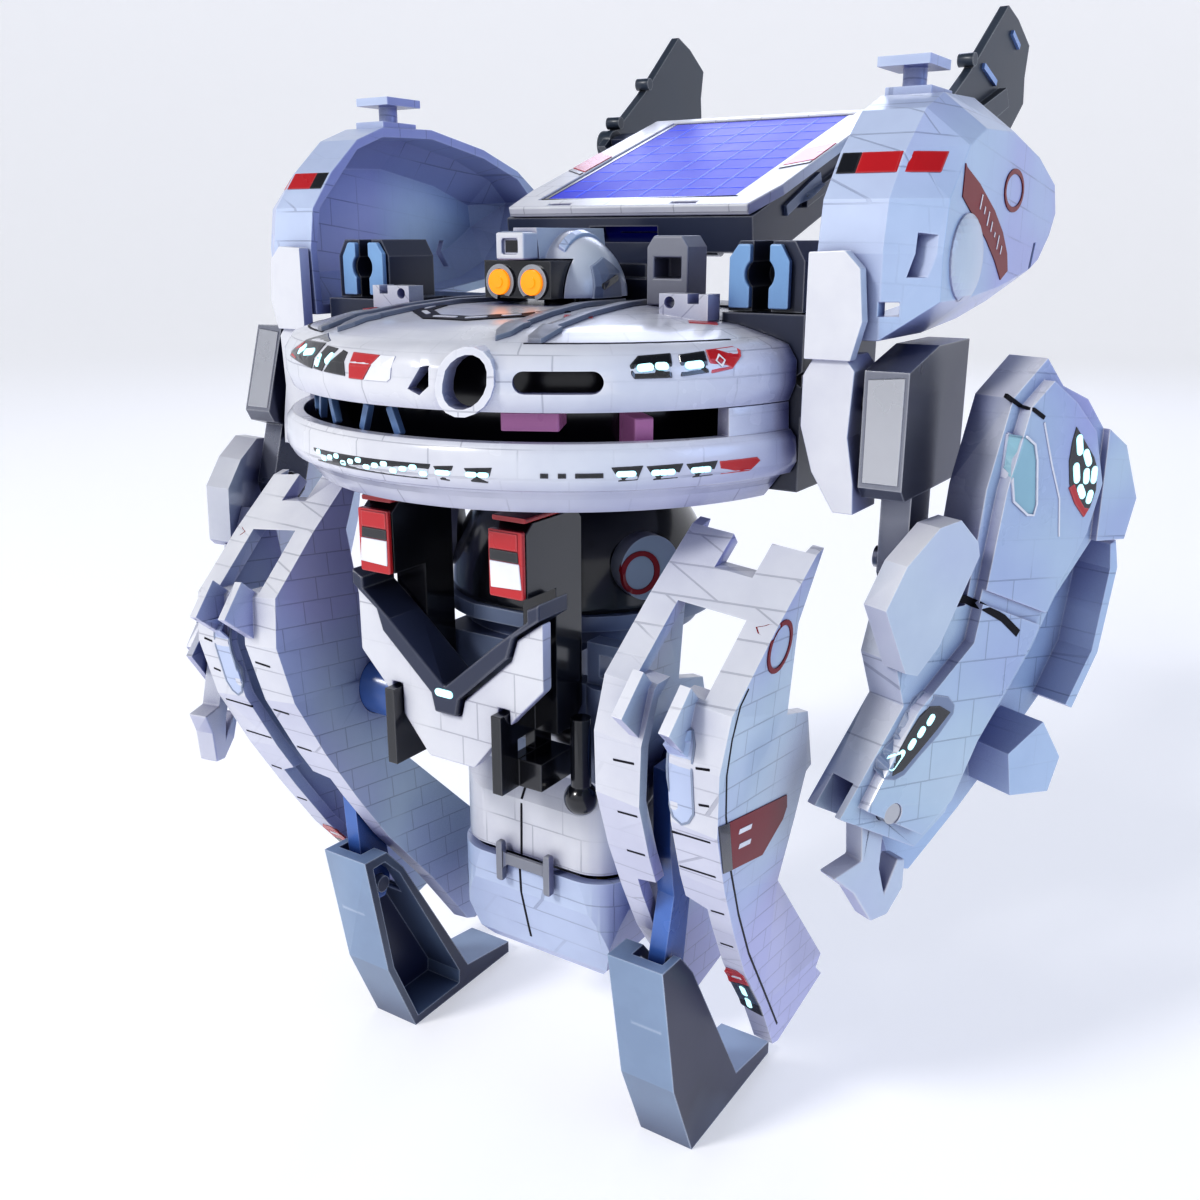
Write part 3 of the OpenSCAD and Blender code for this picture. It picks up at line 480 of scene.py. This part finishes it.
def dome(u, v):
    """Rise of the pod's bulge above its shell, in millimetres."""
    inside = 1 - ((u - BULGE_U) / BULGE_RU) ** 2 - ((v - BULGE_V) / BULGE_RV) ** 2
    return BULGE_RISE * math.sqrt(max(0.0, inside)) + 0.05


# ---------------------------------------------------------------- saucer lights, windows and deck marks

UP, LOW = "upper_saucer_shell", "lower_saucer_ring"
WINDOWS = [[(-31.9, 114.9), (-30, 116), (-22.7, 118.1), (-16.4, 117.5), (-19.6, 114)],
           [(-15.6, 117), (-11.7, 116.8), (-15.8, 113.9), (-18.9, 114.1)],
           [(-10.1, 116.7), (-8.6, 116.5), (-8.5, 113.7), (-15.2, 113.9)],
           [(44.4, 114.9), (44.2, 115.9), (45.8, 116.9), (51.6, 117.1), (51.4, 114.4), (44.9, 114.4)],
           [(53, 116.9), (58.0, 117.2), (58.1, 114.8), (52.9, 114.5)]]
for w in WINDOWS:
    plate("rim_windows", UP, RIM, w, "black_gloss")
plate("rim_red", UP, RIM, [(-7, 116.6), (-0.3, 116.5), (-3.8, 113.5), (-7.4, 113.5)], "red")
plate("rim_red", UP, RIM, [(-30.6, 115.1), (-28, 116.4), (-25.6, 117.1), (-27.5, 114.8)], "red", lift=0.2)
plate("rim_white", UP, RIM, [(-0.2, 116.5), (3.2, 116.5), (2.6, 113.9), (1.8, 113.5), (-3.6, 113.5)],
      "shell_white", "trim_white")
plate("rim_red", UP, RIM, [(58.3, 117.3), (64.4, 117.5), (65.4, 117.1), (65.1, 116.4), (62.7, 115.1),
                           (58.6, 114.7)], "red")
plate("rim_white", UP, RIM, ring(60.6, 116.1, 1.0, 0.75, 0.3, 4), "shell_white", "trim_white", lift=0.22)
for a, b in (((-25.6, 115.9), (-24.2, 116.4)), ((-22.6, 115.9), (-19.8, 116.1)),
             ((-13.6, 115.3), (-12.9, 115.9)), ((-17.2, 114.8), (-16.4, 115.6)),
             ((45.9, 115.6), (47.6, 115.7)), ((49.0, 115.75), (50.2, 115.75)),
             ((54.3, 115.7), (56.6, 115.8))):
    plate("rim_lights", UP, RIM, pill(a, b, 0.85, squash=RIM_SQUASH), "cyan_light", lift=0.24)
STRIPS = [(-19.7, 10.4), (10.9, 14.6), (16.5, 21.4)]
for lo, hi in STRIPS:
    plate("ring_strip", LOW, RIM, [(lo, 104.1), (hi, 104.3), (hi - 0.8, 102.4), (lo + 1.2, 102.5)],
          "black_gloss")
for k in range(14):
    a = -18.0 + 2.05 * k
    row_v = 103.35 + (0.42 if k % 3 == 0 else -0.25 if k % 3 == 1 else 0.1)
    plate("ring_lights", LOW, RIM, pill((a, row_v), (a + 0.7, row_v), 0.62, squash=RIM_SQUASH), "cyan_light",
          lift=0.22)
for a, b in ((11.7, 13.6), (17.2, 18.4), (19.3, 20.4)):
    plate("ring_lights", LOW, RIM, pill((a, 103.4), (b, 103.4), 0.62, squash=RIM_SQUASH), "cyan_light",
          lift=0.22)
for a, b in ((29.4, 30.7), (32.3, 33.6), (35.1, 39.7)):
    plate("ring_dashes", LOW, RIM, box_outline(a, 103.2, b, 103.75), "black_gloss")
for lo, hi in ((41, 46.4), (46.9, 53.4), (53.9, 59.9)):
    plate("ring_strip", LOW, RIM, [(lo, 104.4), (hi, 104.5), (hi - 1.0, 102.8), (lo + 1.2, 102.7)],
          "black_gloss")
    for k in range(3):
        a = lo + 1.3 + k * (hi - lo - 3.2) / 2.6
        plate("ring_lights", LOW, RIM, pill((a, 103.6), (a + 0.7, 103.6), 0.7, squash=RIM_SQUASH),
              "cyan_light", lift=0.22)
plate("ring_red", LOW, RIM, [(60.2, 104.4), (68.2, 104.4), (69, 103.9), (66.5, 102.8), (60.4, 102.8)], "red")

chevron = [(-10.5, -20.4), (-8.5, -26), (-3, -30.6), (3, -30.6), (8.5, -26), (10.5, -20.4)]
plate("deck_chevron", UP, TOP, stroke(chevron, 2.6), "black_gloss", "seam_black")
for a, b in (((-9.9, -22.2), (-9.3, -24.2)), ((-7.2, -27.2), (-5, -29)), ((-2.4, -30.6), (0.8, -30.6)),
             ((2.8, -30.6), (4.6, -29.4)), ((6.4, -27.8), (7.8, -26.6)), ((9.1, -24.4), (9.7, -22.6))):
    plate("deck_dashes", UP, TOP, pill(a, b, 0.7), "shell_white", "trim_white", lift=0.22)
for s in (-1, 1):
    plate("deck_red", UP, TOP, stroke([(s * 13.2, -24.5), (s * 16.2, -22.6)], 1.6), "red")
    plate("deck_red", UP, TOP, stroke([(s * 26.4, -16.5), (s * 29.4, -14.6)], 1.3), "red")
    arc = [(s * 36.6 * math.sin(math.radians(t)), SAUCER_Y - 36.6 * math.cos(math.radians(t)))
           for t in range(26, 67, 5)]
    plate("deck_seams", UP, TOP, stroke(arc, 0.3), "black_gloss", "seam_black", lift=0.05)

# ---------------------------------------------------------------- head and panel

plate("hood_ribs", "head_hood", TOP, stroke([(-3.9, -11.5), (-3.5, -2.0)], 1.0), "shell_blue", lift=0.45)
plate("hood_ribs", "head_hood", TOP, stroke([(3.9, -11.5), (3.5, -2.0)], 1.0), "shell_blue", lift=0.45)
for s in (-1, 1):
    plate("hood_cheeks", "head_hood", SIDE if s > 0 else SIDE.moved(MIRROR),
          [(-10.6, 121.8), (-4.2, 121.8), (-4.6, 125.4), (-7, 127.2), (-9.8, 126)], "blue_grey", lift=0.3)
    plate("hood_slots", "head_hood", SIDE if s > 0 else SIDE.moved(MIRROR),
          pill((-8.8, 123.4), (-5.8, 124.4), 0.9), "black_gloss", lift=0.42)
    plate("lamp_rings", "head_visor", FRONT, ring(2.7 * s, 124, 2.35, 2.35, 0.6), "steel", lift=0.35)
    plate("lamp_cores", "eye_lamps", FRONT, oval(2.7 * s, 124, 0.75, 0.75), "amber_light", lift=0.2)
plate("crest_window", "crest_sensor", FRONT, box_outline(-1.1, 127.8, 1.1, 129.4), "black_gloss", lift=0.05)
plate("crest_cap", "crest_sensor", TOP, box_outline(-1.7, -17.4, 1.7, -15.2), "blue_grey", lift=0.15)

cell_lo, cell_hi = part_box("solar_cell")
cx0, cx1 = cell_lo.x * 1000, cell_hi.x * 1000
cy0, cy1 = cell_lo.y * 1000 + SHIFT_Y, cell_hi.y * 1000 + SHIFT_Y
fx1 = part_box("panel_frame")[1].x * 1000
for k in range(1, 6):
    x = cx0 + (cx1 - cx0) * k / 6
    plate("cell_grid", "solar_cell", TOP, stroke([(x, cy0 + 1.5), (x, cy1 - 1.5)], 0.28), "cell_blue",
          "grid_blue", lift=0.04, cell=6)
for k in range(1, 9):
    y = cy0 + (cy1 - cy0) * k / 9
    plate("cell_grid", "solar_cell", TOP, stroke([(cx0 + 1.5, y), (cx1 - 1.5, y)], 0.2), "cell_blue",
          "grid_blue", lift=0.04, cell=6)
border = [(cx0 + 0.4, cy0 + 0.4), (cx1 - 0.4, cy0 + 0.4), (cx1 - 0.4, cy1 - 0.4), (cx0 + 0.4, cy1 - 0.4)]
for k in range(4):
    plate("cell_border", "solar_cell", TOP, stroke([border[k], border[(k + 1) % 4]], 1.0), "black_gloss",
          lift=0.06, cell=6)
for s in (-1, 1):
    inner, outer = s * (abs(cx1) + 0.5), s * (fx1 - 0.4)
    plate("panel_red", "panel_frame", TOP, [(inner, 27), (outer, 29.5), (outer, 38), (inner, 35.5)], "red")
    plate("panel_dark", "panel_frame", TOP, [(inner, 25.6), (outer, 28.1), (outer, 29.1), (inner, 26.6)],
          "black_gloss")
    view = SIDE if s > 0 else SIDE.moved(MIRROR)
    plate("panel_ridges", "panel_base", view, stroke([(20.5, 133.5), (32.5, 138.6)], 1.6), "blue_grey",
          lift=0.5)
    plate("panel_ridges", "panel_base", view, stroke([(40, 142.6), (47, 145.6)], 1.2), "strut_blue", lift=0.5)

# ---------------------------------------------------------------- pods, arms, legs on both sides

for side, view, arm in (("left", SIDE, ARM), ("right", SIDE.moved(MIRROR), ARM.moved(SWING))):
    front = FRONT if side == "left" else FRONT.moved(MIRROR)
    pod, fore, leg = side + "_shoulder_pod", side + "_forearm_shell", side + "_leg_shell"
    tag = side + "_"
    plate(tag + "pod_red", pod, view, [(-3.6, 138.0), (-3.0, 137.6), (2.5, 136),
                                       (9.9, 133), (14.5, 130.4), (17.5, 127.7), (18.5, 125.5), (15.4, 124.4),
                                       (11.9, 126.9), (7.4, 129.4), (1.7, 131.9), (-3.8, 134.3)],
          "red", "dark_red", lift=0.12)
    plate(tag + "pod_band", pod, front, box_outline(44.4, 136.9, 53.5, 139.3), "red", lift=0.12)
    plate(tag + "pod_black", pod, front, box_outline(42.0, 136.9, 44.4, 139.3), "black_gloss", lift=0.12)
    for k, long in enumerate((1.0, 0.5, 1.0, 0.7, 0.35, 1.0, 0.6)):
        a, b = 3.6 + 1.75 * k, 133.9 - 0.95 * k
        plate(tag + "pod_marks", pod, view, stroke([(a - 0.35 * long, b - 0.85 * long),
                                                    (a + 0.35 * long, b + 0.85 * long)], 0.34),
              "shell_white", "trim_white", lift=0.2)
    plate(tag + "pod_ring", pod, view, ring(18.2, 135.6, 4.6, 2.7, 0.65), "red", "dark_red")
    plate(tag + "pod_bulge", pod, view, oval(BULGE_U, BULGE_V, 5.95, 5.15, 32), "shell_white", lift=dome,
          cell=0.8)

    plate(tag + "arm_seams", fore, arm, stroke([(0.4, 111.5), (2.3, 110.5), (5.8, 108.6)], 0.5),
          "black_gloss", "seam_black")
    plate(tag + "arm_seams", fore, arm, stroke([(-5.2, 86.8), (-3.3, 86.3), (-2.1, 85.7), (2.0, 83.4),
                                                (5.2, 80.8)], 1.0), "black_gloss", "seam_black", lift=0.08)
    plate(tag + "arm_rim", fore, arm, stroke([(5.9, 108), (8.2, 102.5), (10.4, 98), (11.2, 92.9)], 0.28),
          "shell_white", "trim_white", lift=0.1)
    window = [(1.2, 106.8), (2.8, 106.5), (4.5, 105.4), (5.2, 103.4), (6.0, 97.8), (5.6, 96.4), (4.4, 96.6),
              (1.6, 98.6), (0.9, 101.6)]
    plate(tag + "arm_window", fore, arm, window, "shell_blue", "teal", lift=0.05)
    plate(tag + "arm_window_rim", fore, arm, stroke(window + window[:1], 0.32), "shell_white", "trim_white",
          lift=0.22)
    plate(tag + "lamp_panel", fore, arm, [(12.2, 107), (14.3, 104.9), (16.4, 102.8), (17.4, 101.1),
                                          (17.6, 98.3), (16.8, 96.1), (15.7, 95.0), (13.7, 96.8),
                                          (12.1, 99.7), (11.5, 102.7), (11.7, 105.1)], "black_gloss")
    plate(tag + "lamp_red", fore, arm, [(12.0, 99.2), (13.6, 96.9), (15.7, 94.9), (16.6, 96.0), (15.6, 96.2),
                                        (14.3, 97.6), (13.0, 99.6)], "red", lift=0.2)
    for a, b in (((12.9, 105.4), (13.3, 103.8)), ((14.6, 103.4), (15.3, 102.2)),
                 ((12.9, 101.8), (13.3, 100.2)), ((15.1, 100.9), (15.2, 99.9)), ((14.2, 98.9), (14.8, 98.0)),
                 ((16.7, 101.0), (16.7, 99.8)), ((16.4, 97.9), (16.2, 97.2))):
        plate(tag + "lamp_cells", fore, arm, pill(a, b, 1.15), "cyan_light", lift=0.24, cell=2)
    plate(tag + "gauge_frame", fore, arm, [(-11.5, 74.9), (-9.9, 75.5), (-6.9, 74.6), (-5.6, 73.2),
                                           (-5.7, 72.0), (-8.1, 69.6), (-11.0, 67.6), (-13.7, 65.5),
                                           (-15.3, 65.2), (-17.1, 65.8), (-17.6, 67.0), (-17.2, 68.0),
                                           (-14.2, 70.8), (-12.6, 73.3)], "blue_grey", lift=0.08)
    plate(tag + "gauge_face", fore, arm, [(-10.2, 74.0), (-8.4, 73.7), (-6.3, 72.4), (-8.5, 70.5),
                                          (-11.3, 68.3), (-14.1, 66.2), (-15.8, 65.9), (-16.9, 66.4),
                                          (-16.8, 67.1), (-15.5, 68.3), (-13.7, 70.8), (-11.8, 73.0)],
          "black_gloss", lift=0.16)
    for a, b in (((-9.7, 72.4), (-10.1, 71.9)), ((-11.2, 71.1), (-11.6, 70.6)),
                 ((-12.7, 69.8), (-13.1, 69.3)), ((-14.5, 68.7), (-16.0, 67.2))):
        plate(tag + "gauge_lights", fore, arm, pill(a, b, 1.0), "cyan_light", lift=0.26, cell=2)
    plate(tag + "elbow_face", side + "_elbow_box", front if side == "left" else FRONT.moved(SWING),
          [(49.5, 114.0), (53.9, 114.4), (53.9, 101.8), (49.5, 101.8)], "steel", "steel", lift=0.12)

    plate(tag + "leg_ring", leg, view, ring(-27.3, 84.0, 3.3, 3.3, 0.65), "red", "dark_red")
    plate(tag + "leg_label", leg, view, [(-37.7, 64.6), (-34.8, 63.9), (-31.8, 56), (-34.4, 56.7)],
          "black_gloss")
    plate(tag + "leg_label_red", leg, view, [(-34.8, 63.9), (-17.5, 60.3), (-16.8, 58.3), (-17.6, 56.7),
                                             (-22.9, 53.8), (-31.8, 56)], "red", "dark_red")
    plate(tag + "leg_marks", leg, view, stroke([(-31.6, 61.2), (-28.0, 60.4)], 0.7), "shell_white",
          "trim_white", lift=0.2)
    plate(tag + "leg_marks", leg, view, stroke([(-31.0, 58.9), (-27.6, 58.1)], 0.7), "shell_white",
          "trim_white", lift=0.2)
    plate(tag + "leg_seams", leg, view, stroke([(-34.6, 81.0), (-36.2, 79.4), (-37.2, 75.5), (-37.3, 71),
                                                (-35.9, 65.2), (-32.6, 56.9), (-27.6, 47.3), (-22, 38.2),
                                                (-13.6, 26.8), (-6, 16.4)], 0.32), "black_gloss",
          "seam_black", lift=0.05)
    slot_line = [(37.4, 74.6), (38.1, 76.2), (39.2, 76.8), (40.2, 76.2), (40.6, 74.6), (40.2, 65.4),
                 (39.4, 64.0), (38.4, 63.4), (37.3, 64.2), (36.9, 65.8)]
    plate(tag + "shin_window", leg, front, slot_line, "shell_blue", lift=0.04)
    plate(tag + "shin_window_rim", leg, front, stroke(slot_line + slot_line[:1], 0.28), "blue_grey", lift=0.1)
    for z, x0, x1 in ((61.6, 36.6, 42), (55.5, 36.2, 41.4), (48.2, 38.8, 40.8), (41, 38.2, 40.2),
                      (72, 41.0, 42.8), (67, 41.0, 42.4), (70, 29.5, 32.5), (62, 28.8, 31.8), (55, 28.2, 31)):
        plate(tag + "shin_seams", leg, front, stroke([(x0, z), (x1, z + 0.2)], 0.3), "black_gloss",
              "seam_black", lift=0.05)
    plate(tag + "toe_red", leg, front, [(36.5, 33.4), (37.1, 34.6), (38.9, 34.9), (39.7, 34.0), (39.5, 31.0),
                                        (36.2, 30.4)], "red")
    plate(tag + "toe_black", leg, front, [(36.2, 30.3), (39.5, 30.9), (38.7, 21.6), (35.4, 22.4)],
          "black_gloss")
    plate(tag + "toe_marks", leg, front, stroke([(37.1, 32.4), (38.9, 32.8)], 0.6), "shell_white",
          "trim_white", lift=0.2)
    for a, b in (((37.8, 29.3), (37.5, 27.2)), ((37.3, 25.4), (37.0, 23.4))):
        plate(tag + "toe_lights", leg, front, pill(a, b, 0.9), "cyan_light", lift=0.24)
    plate(tag + "fin_bars", side + "_fin", view, stroke([(73.0, 157.8), (79.4, 155.6)], 1.0), "strut_blue",
          "sky_blue", lift=0.5)
    plate(tag + "fin_bars", side + "_fin", view, stroke([(85.5, 164.5), (89.5, 162.5)], 0.9), "strut_blue",
          "sky_blue", lift=0.5)
    plate(tag + "boss_ring", "ring_boss", view, ring(-13.4, 85.5, 2.7, 3.1, 0.7), "red", "dark_red")
    caps = ("post_caps", "posts")
    plate(tag + "cap_red", caps, front, [(8.7, 94.7), (13.1, 94.7), (13.1, 92.5), (8.7, 92.5)], "red")
    plate(tag + "cap_black", caps, front, [(8.7, 92.4), (13.1, 92.4), (13.2, 91.0), (8.7, 91.0)],
          "black_gloss")
    plate(tag + "cap_white", caps, front, [(8.7, 90.9), (13.3, 90.9), (13.6, 87.6), (8.8, 87.4)],
          "shell_white", "trim_white")

# ---------------------------------------------------------------- pelvis and gearbox

plate("v_lamp", ("v_trim", "v_plate"), FRONT, pill((-1.0, 70.9), (1.0, 70.9), 1.1), "cyan_light", lift=0.2)
plate("box_seams", "gearbox_upper", FRONT, stroke([(-1.6, 37.6), (-1.4, 48), (-1.2, 55.6)], 0.4),
      "black_gloss", "seam_black", lift=0.06)
plate("box_seams_low", "gearbox_lower", FRONT, stroke([(-1.6, 35.6), (-1.8, 24), (-1.8, 21.6)], 0.4),
      "black_gloss", "seam_black", lift=0.06)
build_pieces()

# ---------------------------------------------------------------- stage

def sweep_floor():
    """A round pale floor that curves up into a wall on all sides."""
    bm = bmesh.new()
    flat, curve, wall_top = 1.5, 0.8, 1.7
    profile = [(0.0, 0.0), (flat, 0.0)]
    profile += [(flat + curve * math.sin(math.radians(t)), curve - curve * math.cos(math.radians(t)))
                for t in range(10, 91, 10)]
    profile.append((flat + curve, wall_top))
    verts = [bm.verts.new((r, 0, z)) for r, z in profile]
    edges = [bm.edges.new((verts[i], verts[i + 1])) for i in range(len(verts) - 1)]
    bmesh.ops.spin(bm, geom=verts + edges, cent=(0, 0, 0), axis=(0, 0, 1), angle=math.tau, steps=72,
                   use_merge=True)
    bmesh.ops.remove_doubles(bm, verts=bm.verts, dist=1e-5)
    bmesh.ops.recalc_face_normals(bm, faces=bm.faces)
    me = bpy.data.meshes.new("floor")
    bm.to_mesh(me)
    me.shade_smooth()
    return me


floor = sweep_floor()
floor_obj = bpy.data.objects.new("floor", floor)
bpy.context.scene.collection.objects.link(floor_obj)
floor_mat = bpy.data.materials.new("floor_matte")
floor_mat.use_nodes = True
floor_shader = floor_mat.node_tree.nodes["Principled BSDF"]
floor_shader.inputs["Base Color"].default_value = (0.70, 0.70, 0.72, 1)
floor_shader.inputs["Roughness"].default_value = 0.8
floor_shader.inputs["Specular IOR Level"].default_value = 0.1
floor_shader.inputs["Emission Color"].default_value = (0.96, 0.97, 1.0, 1)
floor_shader.inputs["Emission Strength"].default_value = 0.37
floor.materials.append(floor_mat)

world = bpy.data.worlds.new("studio")
world.use_nodes = True
world.node_tree.nodes["Background"].inputs[0].default_value = (0.80, 0.87, 1.0, 1)
world.node_tree.nodes["Background"].inputs[1].default_value = 0.18
bpy.context.scene.world = world
bpy.context.scene.view_settings.view_transform = "Standard"
bpy.context.scene.view_settings.look = "Medium High Contrast"


def area_light(name, place, aim, size, power, colour):
    d = bpy.data.lights.new(name, "AREA")
    d.shape = "DISK"
    d.size = size
    d.energy = power
    d.color = colour
    o = bpy.data.objects.new(name, d)
    o.location = place
    o.rotation_euler = (Vector(aim) - Vector(place)).to_track_quat("-Z", "Y").to_euler()
    bpy.context.scene.collection.objects.link(o)


AIM = (0, 0, 0.09)
LOOK_DOWN, LOOK_LEFT = 16.9, 33   # degrees
area_light("key", (-0.30, -0.80, 0.75), AIM, 0.20, 5.6, (1.0, 0.98, 0.95))
area_light("side", (0.85, -0.05, 0.40), AIM, 0.40, 1.3, (0.36, 0.56, 1.0))
area_light("back", (-0.35, 0.75, 0.60), AIM, 0.45, 1.5, (0.70, 0.76, 1.0))

camera = bpy.data.cameras.new("photo_angle")
camera.lens = 36
camera.sensor_width = 36
camera_obj = bpy.data.objects.new("photo_angle", camera)
camera_obj.location = row(100, -150, 130)
camera_obj.rotation_euler = (math.radians(90 - LOOK_DOWN), 0, math.radians(LOOK_LEFT))
bpy.context.scene.collection.objects.link(camera_obj)
bpy.context.scene.camera = camera_obj
